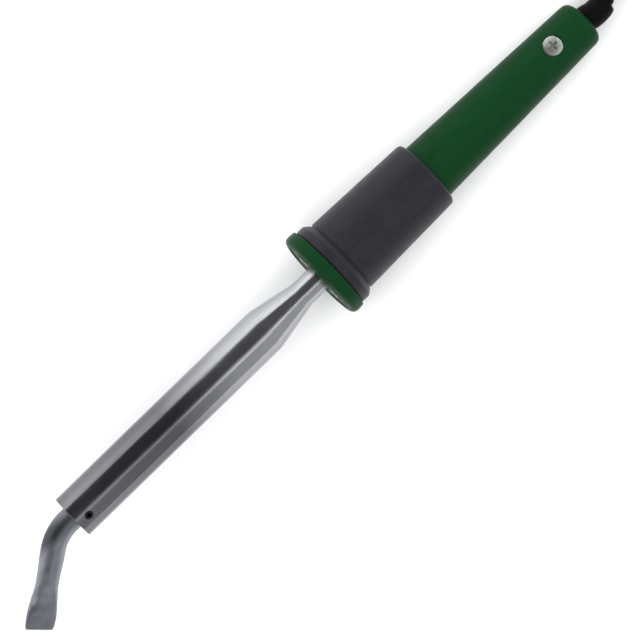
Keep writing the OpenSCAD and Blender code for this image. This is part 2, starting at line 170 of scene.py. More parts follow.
class Look:
    """A procedural material around one Principled shader, in the iron's own axes and in millimetres."""

    def __init__(self, name, **settings):
        self.material = bpy.data.materials.new(name)
        self.material.use_nodes = True
        self.tree = self.material.node_tree
        self.shader = self.tree.nodes["Principled BSDF"]
        for socket, value in settings.items():
            self.shader.inputs[socket.replace("_", " ")].default_value = value
        coordinates = self.tree.nodes.new("ShaderNodeTexCoord")
        mapping = self.tree.nodes.new("ShaderNodeMapping")
        mapping.vector_type = "TEXTURE"
        mapping.inputs["Location"].default_value = IRON.translation
        mapping.inputs["Rotation"].default_value = IRON.to_euler()
        mapping.inputs["Scale"].default_value = (MM, MM, MM)
        self.tree.links.new(coordinates.outputs["Object"], mapping.inputs["Vector"])
        self.place = mapping.outputs["Vector"]
        self.height = None

    def noise(self, size, detail=3, stretch=(1, 1, 1), seed=0.0):
        """Noise with features of about that size in millimetres, made longer along each axis by stretch."""
        scaled = linked(self.tree, "ShaderNodeMapping", Vector=self.place, Scale=[1 / s for s in stretch])
        scaled.inputs["Location"].default_value = (seed, seed, seed)
        return linked(
            self.tree, "ShaderNodeTexNoise", Vector=scaled.outputs["Vector"], Scale=1 / size, Detail=detail
        ).outputs["Fac"]

    def along(self, start, end):
        """From 0 to 1 along the iron, between two places."""
        parts = linked(self.tree, "ShaderNodeSeparateXYZ", Vector=self.place)
        return linked(
            self.tree, "ShaderNodeMapRange", Value=parts.outputs["X"], From_Min=start, From_Max=end
        ).outputs["Result"]

    def spot(self, centre, reach):
        """1 at a place of the iron, fading to 0 at that reach along each axis."""
        place = linked(self.tree, "ShaderNodeMapping", Vector=self.place, Location=centre, Scale=reach)
        place.vector_type = "TEXTURE"
        ball = linked(self.tree, "ShaderNodeTexGradient", Vector=place.outputs["Vector"])
        ball.gradient_type = "SPHERICAL"
        return ball.outputs["Fac"]

    def facing(self):
        """0 where the surface faces the viewer, to 1 at its outline."""
        return linked(self.tree, "ShaderNodeLayerWeight", Blend=0.5).outputs["Facing"]

    def shift(self, value, low, high, start=0.3, end=0.7):
        """A value from start to end, mapped to low to high."""
        return linked(
            self.tree, "ShaderNodeMapRange", Value=value,
            From_Min=start, From_Max=end, To_Min=low, To_Max=high,
        ).outputs["Result"]

    def colours(self, value, *stops):
        """Colours at places from 0 to 1 of a value, blended between them."""
        ramp = linked(self.tree, "ShaderNodeValToRGB", Fac=value)
        elements = ramp.color_ramp.elements
        while len(elements) < len(stops):
            elements.new(0.5)
        for element, (place, colour) in zip(elements, stops):
            element.position = place
            element.color = (*colour, 1)
        return ramp.outputs["Color"]

    def blend(self, factor, first, second, mode="MIX"):
        """Two colours mixed by a factor."""
        mix = self.tree.nodes.new("ShaderNodeMix")
        mix.data_type = "RGBA"
        mix.blend_type = mode
        inputs = [s for s in mix.inputs if s.type == "RGBA"]
        for socket, value in ((mix.inputs[0], factor), (inputs[0], first), (inputs[1], second)):
            if isinstance(value, bpy.types.NodeSocket):
                self.tree.links.new(value, socket)
            else:
                socket.default_value = value
        return next(s for s in mix.outputs if s.type == "RGBA")

    def paint(self, colour):
        """Takes the surface's colour from a node."""
        self.tree.links.new(colour, self.shader.inputs["Base Color"])

    def gloss(self, roughness):
        """Takes the surface's roughness from a node."""
        self.tree.links.new(roughness, self.shader.inputs["Roughness"])

    def bump(self, height, depth, strength=1.0):
        """Adds bumps of about that depth in millimetres."""
        node = linked(self.tree, "ShaderNodeBump", Height=height, Distance=depth * MM, Strength=strength)
        if self.height:
            self.tree.links.new(self.height, node.inputs["Normal"])
        self.height = node.outputs["Normal"]
        self.tree.links.new(self.height, self.shader.inputs["Normal"])


def varied(colour, spread):
    """A darker and a lighter version of a colour."""
    return [c * (1 - spread) for c in colour], [c * (1 + spread) for c in colour]


def metal(name, colour, roughness, drawn=1.0, spread=0.18, grain=0.004):
    """Bare metal with drawing marks along x, cloudy handling marks and fine grain."""
    look = Look(name, Metallic=1.0)
    dark, light = varied(colour, spread)
    marks = look.noise(0.35, 5, (40 * drawn, 1, 1))
    clouds = look.noise(6, 4, seed=3)
    look.paint(look.colours(look.blend(0.5, marks, clouds), (0.35, dark), (0.65, light)))
    look.gloss(look.shift(clouds, roughness * 0.75, roughness * 1.3))
    look.bump(marks, grain)
    look.bump(look.noise(0.12, 2, seed=7), grain / 2)
    return look


def plastic(name, colour, roughness, texture=0.3, depth=0.01, spread=0.12, specular=0.4):
    """Moulded plastic: slight colour drift, a fine moulded texture and rubbed patches."""
    look = Look(name)
    look.shader.inputs["Specular IOR Level"].default_value = specular
    dark, light = varied(colour, spread)
    drift = look.noise(14, 3, (3, 1, 1))
    rubbed = look.noise(3, 5, (2, 1, 1), seed=11)
    look.paint(look.colours(look.blend(0.4, drift, rubbed), (0.3, dark), (0.7, light)))
    look.gloss(look.shift(rubbed, roughness * 0.8, roughness * 1.25))
    look.bump(look.noise(texture, 2), depth)
    look.bump(look.noise(5, 2, seed=5), depth * 3, 0.5)
    return look


def rubber(name, colour, roughness, texture=0.25, depth=0.03, spread=0.2, specular=0.35):
    """Soft rubber: matte, with a pebbled skin and dusty patches."""
    look = Look(name)
    look.shader.inputs["Specular IOR Level"].default_value = specular
    dark, light = varied(colour, spread)
    dust = look.noise(4, 6, seed=2)
    look.paint(look.colours(dust, (0.35, dark), (0.7, light)))
    look.gloss(look.shift(dust, roughness * 0.9, min(1, roughness * 1.2)))
    look.bump(look.noise(texture, 3), depth)
    look.bump(look.noise(1.5, 3, seed=9), depth)
    return look


def ceramic(name, colour):
    """Fired ceramic or mineral sheet: pale, porous and lightly speckled."""
    look = Look(name, Roughness=0.8)
    dark, light = varied(colour, 0.12)
    look.paint(look.colours(look.noise(1.2, 6), (0.3, dark), (0.6, light)))
    look.bump(look.noise(0.4, 5), 0.03)
    return look


def woven(name, colour):
    """Braided glass sleeving or strap webbing."""
    look = Look(name, Roughness=0.85)
    dark, light = varied(colour, 0.25)
    waves = linked(look.tree, "ShaderNodeTexWave", Vector=look.place, Scale=1.2, Distortion=0.6)
    waves.bands_direction = "DIAGONAL"
    threads = waves.outputs["Fac"]
    look.paint(look.colours(threads, (0.1, dark), (0.8, light)))
    look.bump(threads, 0.08)
    look.bump(look.noise(0.2, 3), 0.03)
    return look


def chromed_steel():
    """Drawn chrome that heat has dulled and darkened towards the nose, with painted shade that darkens its colour
    towards the outline that the viewer sees.
    """
    look = Look("chromed_steel", Metallic=1.0)
    marks = look.noise(0.5, 5, (60, 1, 1))
    clouds = look.noise(9, 4, (2.5, 1, 1), seed=4)
    worn = look.blend(0.12, look.along(NOSE_X, CONE_X + 12), clouds)
    base = look.colours(
        worn, (0.0, (0.20, 0.20, 0.21)), (0.1, (0.24, 0.24, 0.25)), (0.26, (0.20, 0.20, 0.21)),
        (0.46, (0.18, 0.182, 0.19)), (0.7, (0.46, 0.465, 0.48)), (0.88, (0.52, 0.525, 0.54)),
    )
    streaks = look.colours(marks, (0.3, (0.55, 0.56, 0.6)), (0.7, (1, 1, 1)))
    streaked = look.blend(0.35, base, streaks, "MULTIPLY")
    # Painted shade: the colour darkens towards the outline that the viewer sees, for a dim edge along the barrel.
    edge = look.colours(look.facing(), (0.2, (1, 1, 1)), (0.55, (0.6, 0.6, 0.62)))
    look.paint(look.blend(1, streaked, edge, "MULTIPLY"))
    look.gloss(look.shift(clouds, 0.13, 0.26))
    look.bump(marks, 0.004)
    look.bump(look.noise(7, 3, (6, 1, 1), seed=10), 0.06)
    look.bump(look.noise(0.25, 3, seed=8), 0.002)
    return look


def plated_tip():
    """Iron plating, forged and heated: blue-grey with forging streaks, and darker in a patch on the top of the
    bend's outer side.
    """
    look = Look("plated_tip", Metallic=1.0)
    mottle = look.noise(3.5, 4, (2.5, 1, 1), seed=1)
    fine = look.noise(0.8, 4, seed=6)
    base = look.colours(mottle, (0.3, (0.23, 0.24, 0.265)), (0.7, (0.32, 0.335, 0.365)))
    base = look.blend(look.shift(fine, 0, 0.25, 0.45, 0.7), base, (0.17, 0.175, 0.19, 1))
    # A dark patch on the top of the bend's outer side, mixed with the mottle.
    bend_dark_patch = look.blend(0.25, look.spot((BEND_X - 9, 1.2, 3), (17, 5, 9)), mottle, "MULTIPLY")
    look.paint(look.blend(look.shift(bend_dark_patch, 0, 0.8, 0.02, 0.6), base, (0.035, 0.037, 0.043, 1)))
    look.gloss(look.shift(mottle, 0.42, 0.54))
    look.bump(mottle, 0.03)
    look.bump(look.noise(0.3, 4, seed=12), 0.008)
    return look


LOOKS = {
    "plated_tip": plated_tip(),
    "chromed_steel": chromed_steel(),
    "bush_steel": metal("bush_steel", (0.24, 0.24, 0.25), 0.4, 0.05),
    "screw_steel": metal("screw_steel", (0.64, 0.66, 0.62), 0.4, 0.05, 0.1),
    "set_screw_steel": metal("set_screw_steel", (0.035, 0.036, 0.04), 0.45, 0.05),
    "heater_ceramic": ceramic("heater_ceramic", (0.78, 0.73, 0.6)),
    "resistance_wire": metal("resistance_wire", (0.3, 0.25, 0.18), 0.5, 0.05),
    "mica": ceramic("mica", (0.6, 0.47, 0.28)),
    "nickel_wire": metal("nickel_wire", (0.5, 0.51, 0.52), 0.35, 0.2),
    "glass_sleeving": woven("glass_sleeving", (0.8, 0.77, 0.68)),
    "plate_steel": metal("plate_steel", (0.35, 0.36, 0.38), 0.4, 0.1),
    "green_plastic": plastic("green_plastic", (0.0036, 0.035, 0.0098), 0.4, specular=0.06),
    "grip_rubber": rubber("grip_rubber", (0.0165, 0.0165, 0.021), 0.42, spread=0.12, specular=0.18),
    "terminal_plastic": plastic("terminal_plastic", (0.83, 0.81, 0.73), 0.5),
    "terminal_brass": metal("terminal_brass", (0.5, 0.3, 0.06), 0.3, 0.1),
    "live_insulation": plastic("live_insulation", (0.12, 0.04, 0.015), 0.45),
    "neutral_insulation": plastic("neutral_insulation", (0.02, 0.08, 0.27), 0.45),
    "earth_insulation": plastic("earth_insulation", (0.27, 0.42, 0.03), 0.45),
    "slug_nylon": plastic("slug_nylon", (0.7, 0.68, 0.6), 0.5),
    "relief_rubber": rubber("relief_rubber", (0.0028, 0.0028, 0.003), 0.5, specular=0.06),
    "lead_sheath": rubber("lead_sheath", (0.003, 0.003, 0.0032), 0.45, 0.4, 0.015, specular=0.08),
    "tie_strap": woven("tie_strap", (0.02, 0.02, 0.022)),
    "plug_plastic": rubber("plug_plastic", (0.008, 0.008, 0.0085), 0.5, 0.3, 0.02),
    "pin_nickel": metal("pin_nickel", (0.6, 0.58, 0.53), 0.2, 0.4),
}

# CAD nodes whose own shape shows, with the look of each
KEPT_NODES = {
    "tip_set_screw": "set_screw_steel", "nose_bush": "bush_steel", "heater_former": "heater_ceramic",
    "heater_winding": "resistance_wire", "mica_wrap": "mica", "rear_insulator": "heater_ceramic",
    "heater_leads": "nickel_wire", "lead_sleeves": "glass_sleeving", "barrel_collar": "plate_steel",
    "earth_tag": "nickel_wire", "flange_screws": "screw_steel", "terminal_block": "terminal_plastic",
    "terminal_inserts": "terminal_brass", "terminal_screws": "screw_steel", "live_core": "live_insulation",
    "neutral_core": "neutral_insulation", "earth_core": "earth_insulation", "clamp_slug": "slug_nylon",
    "clamp_screw": "screw_steel",
}


def dress_cad_nodes():
    """Gives the CAD nodes that stay their own looks."""
    for node, look in KEPT_NODES.items():
        piece = frame["nodes"][node]
        piece.data.materials.clear()
        piece.data.materials.append(LOOKS[look].material)


# ---- Mesh building ----

def rounded(corners, steps=6):
    """Outline points from (x, r) corners, with an arc at each corner that gives a rounding radius."""
    points = []
    for i, corner in enumerate(corners):
        here = Vector(corner[:2])
        if len(corner) == 2:
            points.append(here)
            continue
        before = (Vector(corners[i - 1][:2]) - here).normalized()
        after = (Vector(corners[(i + 1) % len(corners)][:2]) - here).normalized()
        reach = corner[2] / math.tan(before.angle(after) / 2)
        start = here + before * reach
        end = here + after * reach
        for k in range(steps + 1):
            t = k / steps
            points.append(start.lerp(here, t).lerp(here.lerp(end, t), t))
    return points


def bridge(bm, first, second):
    """Faces between two rings, either of which may be a single vertex."""
    count = max(len(first), len(second))
    for i in range(count if len(first) + len(second) > 2 else 0):
        ring = [first[i % len(first)], first[(i + 1) % len(first)]]
        ring += [second[(i + 1) % len(second)], second[i % len(second)]]
        bm.faces.new(dict.fromkeys(ring))


def lathed(outline, sides=128):
    """Solid of revolution about x, from (x, radius) points that close on themselves or end on the axis."""
    bm = bmesh.new()
    rings = []
    for x, r in outline:
        spots = [(x, 0, 0)]
        if r > 1e-6:
            turns = [2 * math.pi * k / sides for k in range(sides)]
            spots = [(x, r * math.cos(a), r * math.sin(a)) for a in turns]
        rings.append([bm.verts.new(spot) for spot in spots])
    for first, second in zip(rings, rings[1:] + rings[:1]):
        bridge(bm, first, second)
    return bm


def lofted(rings):
    """Solid through rings of points, closed at both ends."""
    bm = bmesh.new()
    rows = [[bm.verts.new(point) for point in ring] for ring in rings]
    for first, second in zip(rows, rows[1:]):
        bridge(bm, first, second)
    bm.faces.new(rows[0])
    bm.faces.new(rows[-1])
    return bm


def solid(name, bm, place):
    """An object from a mesh in millimetres, put in its place."""
    bm.transform(place)
    bmesh.ops.recalc_face_normals(bm, faces=bm.faces)
    mesh = bpy.data.meshes.new(name)
    bm.to_mesh(mesh)
    bm.free()
    piece = bpy.data.objects.new(name, mesh)
    bpy.context.scene.collection.objects.link(piece)
    return piece


def cut(piece, bm, place):
    """Cuts a mesh in millimetres out of a piece."""
    cutter = solid("cutter", bm, place)
    modifier = piece.modifiers.new("cut", "BOOLEAN")
    modifier.operation = "DIFFERENCE"
    modifier.solver = "EXACT"
    modifier.object = cutter
    shown = piece.evaluated_get(bpy.context.evaluated_depsgraph_get())
    mesh = bpy.data.meshes.new_from_object(shown)
    piece.modifiers.clear()
    piece.data = mesh
    bpy.data.objects.remove(cutter)


def finish_piece(piece, look, replaces=(), body=BODY, sharp=32):
    """Smooths a piece, gives it its look and slot, and makes it ride in place of its CAD nodes. Edges that
    bend by more than sharp degrees stay crisp."""
    mesh = piece.data
    mesh.polygons.foreach_set("use_smooth", [True] * len(mesh.polygons))
    mesh.set_sharp_from_angle(angle=math.radians(sharp))
    normals = piece.modifiers.new("normals", "WEIGHTED_NORMAL")
    normals.keep_sharp = True
    mesh.materials.clear()
    mesh.materials.append(LOOKS[look].material)
    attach(piece, body)
    if replaces:
        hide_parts(*replaces)
    return piece


def smooth(t):
    """Eases from 0 to 1."""
    t = min(1, max(0, t))
    return t * t * (3 - 2 * t)


def radial(x, roll):
    """Place of a solid whose own +x points out of the iron at x, at that roll from the top towards -Y."""
    turn = Matrix.Rotation(math.radians(roll), 4, "X")
    return IRON @ Matrix.Translation((x, 0, 0)) @ turn @ Matrix.Rotation(math.radians(-90), 4, "Y")


def spline(points, count):
    """Points along a smooth curve through all of these."""
    points = [Vector(p) for p in points]
    ends = [2 * points[0] - points[1], *points, 2 * points[-1] - points[-2]]
    made = []
    for i in range(1, len(ends) - 2):
        a, b, c, d = ends[i - 1:i + 3]
        for k in range(count):
            t = k / count
            made.append(0.5 * (
                2 * b + (c - a) * t + (2 * a - 5 * b + 4 * c - d) * t * t + (3 * b - a - 3 * c + d) * t ** 3
            ))
    return made + [points[-1]]


def round_rings(path, radii, sides=48):
    """Rings of those radii around a path."""
    rings = []
    for i, (point, r) in enumerate(zip(path, radii)):
        heading = (path[min(i + 1, len(path) - 1)] - path[max(i - 1, 0)]).normalized()
        side = Vector((0, 0, 1)).cross(heading).normalized()
        up = heading.cross(side)
        turns = [2 * math.pi * k / sides for k in range(sides)]
        rings.append([point + r * (math.cos(a) * side + math.sin(a) * up) for a in turns])
    return rings


# ---- The camera ----

def add_camera():
    """Looks straight down, turned so that the tip points to the lower left."""
    height = 1120
    aim = (-10.4, -11.5)
    turn = -44.2
    camera = bpy.data.objects.new("camera", bpy.data.cameras.new("camera"))
    camera.data.lens = 167
    camera.location = TABLE @ Vector((*aim, height))
    camera.rotation_euler = (0, 0, math.radians(turn))
    camera.data.clip_start = 0.01
    bpy.context.scene.collection.objects.link(camera)
    bpy.context.scene.camera = camera


# ---- The lead ----

def on_racetrack(r, z, run_share, loop_share):
    """Point on a hank's turn. run_share goes from -1 at the left end to 1 at the right end of the +Y run,
    and loop_share from 0 to 1 round the loop beyond that end."""
    x = HANK_AT[0] + run_share * HANK_RUN / 2
    y_angle = math.pi / 2 - loop_share * math.pi
    end = 1 if run_share > 0 else -1
    return Vector((x + end * r * math.cos(y_angle), HANK_AT[1] + r * math.sin(y_angle), z))


def hank_points():
    """The hank's turns, clockwise from the middle of the +Y run. Each turn keeps its cell of the bundle
    round the right end, and slides into the next cell while it goes round the left end. The turns slide
    one after another, the last one first, so that each finds its next cell empty."""
    low, middle, high = LAYER_Z
    cells = [
        (HANK_OUTER_R, low), (HANK_INNER_R, low), (HANK_INNER_R, middle), (HANK_OUTER_R, middle),
        (HANK_OUTER_R, high), (HANK_INNER_R, high),
    ]
    loop_steps = 12
    run_steps = 3
    lag = 0.3
    turns = len(cells) - 1
    points = []
    for turn in range(turns):
        r, z = cells[turn]
        track = [(k / run_steps, 0) for k in range(run_steps)]
        track += [(1, k / loop_steps) for k in range(loop_steps)]
        track += [(1 - k / run_steps, 1) for k in range(run_steps)]
        points += [on_racetrack(r, z, *spot) for spot in track]
        track = [(-k / run_steps, 1) for k in range(run_steps)]
        track += [(-1, 1 - k / loop_steps) for k in range(loop_steps)]
        track += [(-1 + k / run_steps, 0) for k in range(run_steps)]
        next_r, next_z = cells[turn + 1]
        start = lag * (turns - 1 - turn)
        for k, spot in enumerate(track):
            share = smooth(k / len(track) * (1 + lag * (turns - 1)) - start)
            points.append(on_racetrack(r + share * (next_r - r), z + share * (next_z - z), *spot))
    return points + [on_racetrack(*cells[-1], 0, 0)]


def add_lead():
    """The mains lead: out of its relief, round the hank and into the plug."""
    data = bpy.data.curves.new("mains_lead", "CURVE")
    data.dimensions = "3D"
    data.resolution_u = 5
    data.bevel_depth = CORD_D / 2 * MM
    data.bevel_resolution = 6
    data.use_fill_caps = True
    points = [Vector(p) for p in RELIEF_ROUTE[4:] + LEAD_IN] + hank_points() + [Vector(p) for p in LEAD_OUT]
    bends = data.splines.new("BEZIER")
    bends.bezier_points.add(len(points) - 1)
    for bend, point in zip(bends.bezier_points, points):
        bend.co = TABLE @ point
        bend.handle_left_type = bend.handle_right_type = "AUTO"
    data.materials.append(LOOKS["lead_sheath"].material)
    lead = bpy.data.objects.new("mains_lead", data)
    bpy.context.scene.collection.objects.link(lead)
    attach(lead, BODY)
    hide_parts("cord", "cord_hank", "plug_lead")
    return lead


def add_lead_tail():
    """The lead's held stretch, from its cut end inside the handle into the strain relief."""
    path = spline([axis_point(HOLLOW_X1), axis_point(HANDLE_LEN), *RELIEF_ROUTE[:5]], 6)
    tail = solid("lead_tail", lofted(round_rings(path, [CORD_D / 2] * len(path), 32)), TABLE)
    finish_piece(tail, "lead_sheath")


def add_relief():
    """The strain relief: a short boot behind the handle, then a thin ringed neck that bends with the lead."""
    path = spline([axis_point(RELIEF_X), axis_point(HANDLE_LEN), *RELIEF_ROUTE], 14)
    boot_end = 0.49
    step = 0.035
    rings = 5
    boot_taper = 0.25
    ring_depth = 0.28
    rounded_end = 0.3
    rounding_share = 0.015
    radii = []
    for i in range(len(path)):
        along = i / (len(path) - 1)
        neck = max(0, (along - boot_end - step) / (1 - boot_end - step))
        boot_r = RELIEF_R - boot_taper * smooth(along / boot_end)
        neck_r = RELIEF_NECK_R + neck * (RELIEF_END_R - RELIEF_NECK_R)
        ring = ring_depth * max(0, math.sin(math.pi * 2 * rings * neck)) ** 2
        end = rounded_end * smooth((along - (1 - rounding_share)) / rounding_share)
        radii.append(boot_r + smooth((along - boot_end) / step) * (neck_r - boot_r) - ring - end)
    boot = solid("cord_boot", lofted(round_rings(path, radii)), TABLE)
    finish_piece(boot, "relief_rubber", ["strain_relief"], sharp=50)


def hull(points):
    """Convex hull of 2-D points, in order."""
    points = sorted(points)

    def half(line):
        kept = []
        for p in line:
            while len(kept) > 1 and (
                (kept[-1][0] - kept[-2][0]) * (p[1] - kept[-2][1])
                <= (kept[-1][1] - kept[-2][1]) * (p[0] - kept[-2][0])
            ):
                kept.pop()
            kept.append(p)
        return kept[:-1]

    return half(points) + half(reversed(points))


def around_cords(cells, r, steps=40):
    """Outline round cords whose middles are at those places, at distance r from them."""
    turns = [2 * math.pi * k / steps for k in range(steps)]
    return hull([(y + r * math.cos(a), z + r * math.sin(a)) for y, z in cells for a in turns])


def add_ties():
    """The two straps round the hank's runs. The lead comes in and goes out along the +Y run, so the -Y run
    has one strand fewer. Returns the straps."""
    full = [(r, z) for r in (HANK_INNER_R, HANK_OUTER_R) for z in LAYER_Z]
    short_of_one = [cell for cell in full if cell != (HANK_INNER_R, LAYER_Z[-1])]
    straps = []
    for name, side, cells in (("tie_left", 1, full), ("tie_right", -1, short_of_one)):
        cells = [(HANK_AT[1] + side * r, z) for r, z in cells]
        inner = around_cords(cells, CORD_D / 2 + TIE_GAP)
        outer = around_cords(cells, CORD_D / 2 + TIE_GAP + TIE_T)
        bm = bmesh.new()
        rows = []
        for x in (-TIE_HALF_W, TIE_HALF_W):
            rows.append([bm.verts.new((HANK_AT[0] + x, y, z)) for y, z in inner])
            rows.append([bm.verts.new((HANK_AT[0] + x, y, z)) for y, z in outer])
        for first, second in ((0, 1), (1, 3), (3, 2), (2, 0)):
            bridge(bm, rows[first], rows[second])
        strap = solid(name, bm, TABLE)
        finish_piece(strap, "tie_strap", ["cord_ties"])
        straps.append(strap)
    return straps


# ---- The iron ----

def add_barrel():
    """The tube with its cone, its neck through the flange and the small collar that ends it."""
    collar_x1 = PLATE_X1 + COLLAR_T
    outline = rounded([
        (NOSE_X, BORE_R, 0.25), (NOSE_X, BARREL_R, 0.3),
        (CONE_X, BARREL_R, CONE_ROUNDING), (NECK_X, NECK_R, NECK_ROUNDING),
        (PLATE_X1, NECK_R), (PLATE_X1, COLLAR_R), (collar_x1, COLLAR_R), (collar_x1, NECK_BORE_R),
        (NECK_X, NECK_BORE_R, NECK_ROUNDING), (CONE_X, BORE_R, CONE_ROUNDING),
    ])
    barrel = solid("barrel", lathed(outline, 192), IRON)
    countersink = 0.12
    hole = [
        (0, 0), (0, SET_SCREW_R), (BARREL_R - countersink, SET_SCREW_R),
        (BARREL_R + CUT, SET_SCREW_R + CUT), (BARREL_R + CUT, 0),
    ]
    cut(barrel, lathed(hole, 48), radial(SET_SCREW_X, SET_SCREW_ROLL))
    finish_piece(barrel, "chromed_steel", ["barrel_tube"])


def tip_section(along):
    """Half width, half height and squareness of the working end, at a share of its length. Squareness 1 is
    an ellipse, and a smaller one is squarer."""
    stations = [
        (0.00, 4.62, 4.62, 1.00), (0.12, 4.60, 4.60, 1.00), (0.31, 4.28, 4.35, 0.95),
        (0.42, 4.24, 3.95, 0.88), (0.50, 4.45, 3.45, 0.80), (0.60, 4.88, 2.85, 0.70),
        (0.72, 5.32, 2.25, 0.60), (0.82, 5.50, 1.85, 0.52), (0.92, 5.42, 1.50, 0.46),
        (0.97, 5.25, 1.32, 0.43), (1.00, 4.85, 1.18, 0.42),
    ]
    for (low, *first), (high, *second) in zip(stations, stations[1:]):
        if along <= high:
            t = (along - low) / (high - low)
            return [a + t * (b - a) for a, b in zip(first, second)]
    return stations[-1][1:]


def forged(half_w, half_h, corner, blade, turn):
    """One point of the tip's section, with the hammer's uneven marks and a small dent beside the blade."""
    across = math.copysign(abs(math.cos(turn)) ** corner, math.cos(turn)) * half_w
    up = math.copysign(abs(math.sin(turn)) ** corner, math.sin(turn)) * half_h
    along = blade * REACH
    hammered = 0.05 * smooth(blade * 3) * noise(Vector((across, up, along)) * 0.3)
    dent = 0.8 * math.exp(-((across + 4.1) / 1.3) ** 2 - ((along - 19) / 2.2) ** 2) * smooth(up)
    skew = BLADE_SKEW * (across + half_w) * smooth((blade - 0.7) / 0.3)
    return across, up * (1 + hammered) - dent, skew


def add_tip():
    """The plated tip: round shank, bend and a working end forged to a flat blade with a dressed edge."""
    sides = 72
    shank_steps = 12
    bend_steps = 18
    reach_steps = 48
    stations = [(Vector((SHANK_X, 0, 0)), (TIP_R - 0.45, TIP_R - 0.45, 1), 0, 0)]
    for k in range(shank_steps):
        x = SHANK_X - 0.6 + (BEND_X - SHANK_X + 0.6) * k / shank_steps
        stations.append((Vector((x, 0, 0)), (TIP_R, TIP_R, 1), 0, 0))
    for k in range(bend_steps):
        turn = BEND_ANGLE * k / bend_steps
        spot = Vector((BEND_X - BEND_R * math.sin(turn), BEND_R * (math.cos(turn) - 1), 0))
        r = TIP_R - 0.03 * k / bend_steps
        stations.append((spot, (r, r, 1), turn, 0))
    heel = Vector((BEND_X - BEND_R * math.sin(BEND_ANGLE), BEND_R * (math.cos(BEND_ANGLE) - 1), 0))
    ahead = Vector((-math.cos(BEND_ANGLE), -math.sin(BEND_ANGLE), 0))
    for k in range(reach_steps + 1):
        blade = k / reach_steps
        stations.append((heel + ahead * REACH * blade, tip_section(blade), BEND_ANGLE, blade))
    half_w, half_h, corner = tip_section(1)
    stations.append((stations[-1][0], (half_w - 0.4, half_h - 0.4, corner), BEND_ANGLE, 1))
    rings = []
    for spot, section, bent, blade in stations:
        side = Vector((math.sin(bent), -math.cos(bent), 0))
        back = Vector((math.cos(bent), math.sin(bent), 0))
        ring = []
        for k in range(sides):
            across, up, skew = forged(*section, blade, 2 * math.pi * k / sides)
            ring.append(spot + side * across + back * skew + Vector((0, 0, up)))
        rings.append(ring)
    tip = solid("forged_tip", lofted(rings), IRON)
    finish_piece(tip, "plated_tip", ["tip"], body="bent_tip", sharp=40)


def add_flange():
    """The round flange, with a shallow ring in its front face and two countersunk screw holes."""
    hole_r = NECK_R + 0.2
    ring_depth = 0.45
    softened = 0.4
    outline = rounded([
        (0, hole_r, 0.3), (0, 11.6, softened), (ring_depth, 12.1, softened), (ring_depth, 15.4, softened),
        (0, 15.9, softened), (0, FLANGE_R, 2.9), (FLANGE_T, FLANGE_R - 0.5, 0.5), (FLANGE_T, hole_r),
    ])
    flange = solid("flange", lathed(outline, 160), IRON)
    screw_r = 1.25
    screw_hole = [(-1, 0), (-1, 3.5), (1.6, screw_r), (8, screw_r), (8, 0)]
    for side in (-1, 1):
        cut(flange, lathed(screw_hole, 48), IRON @ Matrix.Translation((0, side * SCREW_Y, 0)))
    finish_piece(flange, "green_plastic", ["front_flange"])


def add_grip():
    """The soft sleeve: a raised collar against the flange, a groove, then a slight taper to the rear."""
    collar_x0 = FLANGE_T + 0.05
    outline = rounded([
        (collar_x0, SLEEVE_BORE_R), (collar_x0, 17.6, 0.9), (FLANGE_T + 3.6, 17.7, 1.6),
        (FLANGE_T + 5.6, 16.2, 0.8), (FLANGE_T + 6.1, 15.3, 0.3), (FLANGE_T + 6.9, 15.85, 0.5),
        (SLEEVE_X1, 14.6, 1.9), (SLEEVE_X1, SLEEVE_BORE_R),
    ])
    finish_piece(solid("grip", lathed(outline, 160), IRON), "grip_rubber", ["grip_sleeve"])


def add_handle():
    """The moulded handle, hollow as in CAD, with the counterbored seat of its clamp screw."""
    outline = rounded([
        (FLANGE_T, STEM_REBATE_R), (FLANGE_T, STEM_R), (SLEEVE_X1, STEM_R),
        (HANDLE_LEN, HANDLE_REAR_R, 3.6), (HANDLE_LEN, RELIEF_SEAT_R, 0.5), (RELIEF_X, RELIEF_SEAT_R),
        (RELIEF_X, CORD_HOLE_R), (112, CORD_HOLE_R), (HOLLOW_X1, 6.5), (60, STEM_BORE_R),
        (PLATE_X1, STEM_BORE_R), (PLATE_X1, STEM_REBATE_R),
    ])
    handle = solid("handle", lathed(outline, 192), IRON)
    slug_r = 3
    slug_z = 5.2
    screw_r = 1.6
    seat = [
        (0, 0), (0, slug_r), (slug_z, slug_r), (slug_z, screw_r), (CLAMP_SEAT_Z, screw_r),
        (CLAMP_SEAT_Z, CLAMP_SEAT_R), (9.7, CLAMP_SEAT_R), (12, CLAMP_SEAT_R + screw_r), (12, 0),
    ]
    cut(handle, lathed(seat, 64), radial(CLAMP_X, CLAMP_ROLL))
    finish_piece(handle, "green_plastic", ["handle_shell"])


# ---- The plug ----

def box_mesh(low, high, bevel=0.0):
    """Box between two corners, with bevelled edges."""
    bm = bmesh.new()
    bmesh.ops.create_cube(bm, size=1)
    for vertex in bm.verts:
        vertex.co = Vector([a + (0.5 + c) * (b - a) for a, b, c in zip(low, high, vertex.co)])
    if bevel:
        bmesh.ops.bevel(bm, geom=bm.edges[:], offset=bevel, segments=3, profile=0.5, affect="EDGES")
    return bm


